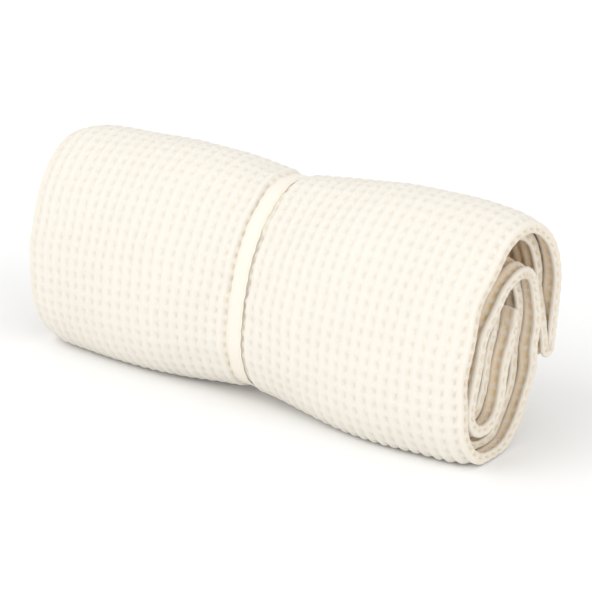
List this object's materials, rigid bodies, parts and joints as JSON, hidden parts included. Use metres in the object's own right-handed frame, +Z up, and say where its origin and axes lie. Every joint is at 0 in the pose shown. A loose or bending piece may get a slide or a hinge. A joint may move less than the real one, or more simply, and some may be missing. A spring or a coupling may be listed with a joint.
{
  "type": "rolled throw blanket",
  "caption": "Waffle-weave cotton throw, folded into a long pad, rolled into an oval bundle and held round its waist by a narrow tape band.",
  "frame": {"origin": "on the surface the roll rests on, under the middle of its box", "axes": "+X along the roll towards the end whose spiral shows, -Y towards its front, where the cloth runs down unbroken, +Z up"},
  "size_m": [0.4334, 0.1458, 0.1844],
  "materials": {
    "waffle_cotton": "undyed cream cotton, deep waffle weave of soft unshiny yarn",
    "cotton_tape": "flat plain-woven cream cotton tape with firm edges",
    "sewing_thread": "cream cotton sewing thread"
  },
  "bodies": {
    "throw": {"throw_cloth": "waffle_cotton", "left_side_hem_stitching": "sewing_thread", "right_side_hem_stitching": "sewing_thread", "first_end_hem_stitching": "sewing_thread", "second_end_hem_stitching": "sewing_thread"},
    "band": {"tie_band": "cotton_tape", "band_join_stitching": "sewing_thread"}
  },
  "joints": [
    {"name": "band_slide", "type": "slide", "parent": "throw", "child": "band", "axis": [1, 0, 0], "range_m": [-0.25, 0.25], "deforming": ["tie_band", "band_join_stitching"]}
  ]
}
